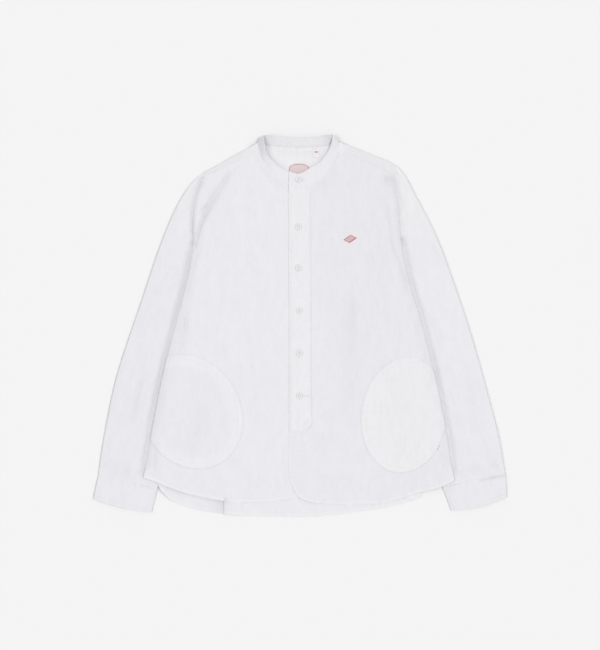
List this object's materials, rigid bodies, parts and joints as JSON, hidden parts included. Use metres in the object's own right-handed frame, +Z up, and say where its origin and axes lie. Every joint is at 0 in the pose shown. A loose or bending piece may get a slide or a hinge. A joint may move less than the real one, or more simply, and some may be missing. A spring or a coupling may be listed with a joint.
{
  "type": "shirt",
  "caption": "Long-sleeved linen shirt with a standing band collar, half-length placket, round side pockets and buttoned cuffs, laid flat on its back.",
  "frame": {"origin": "centre of the shirt's bounding box on the surface it lies on", "axes": "+Z up from the surface, +Y from the hem to the collar, +X to the wearer's left"},
  "size_m": [0.725, 0.67, 0.0196],
  "materials": {
    "linen": "plain-woven white linen, slubby",
    "linen_doubled": "two layers of white linen sewn together",
    "button": "pale shell-like, satin",
    "label_red": "woven label, plain red",
    "label_white": "woven tab, plain white"
  },
  "bodies": {
    "root": {"back": "linen", "yoke": "linen", "front_left": "linen", "front_right": "linen", "sleeve_left": "linen", "sleeve_right": "linen", "pocket_left": "linen", "pocket_right": "linen", "placket": "linen_doubled", "collar_band": "linen_doubled", "cuff_left": "linen_doubled", "cuff_right": "linen_doubled", "button_1": "button", "button_2": "button", "button_3": "button", "button_4": "button", "button_5": "button", "button_6": "button", "chest_label": "label_red", "neck_label": "label_red", "size_tab": "label_white"}
  },
  "joints": []
}
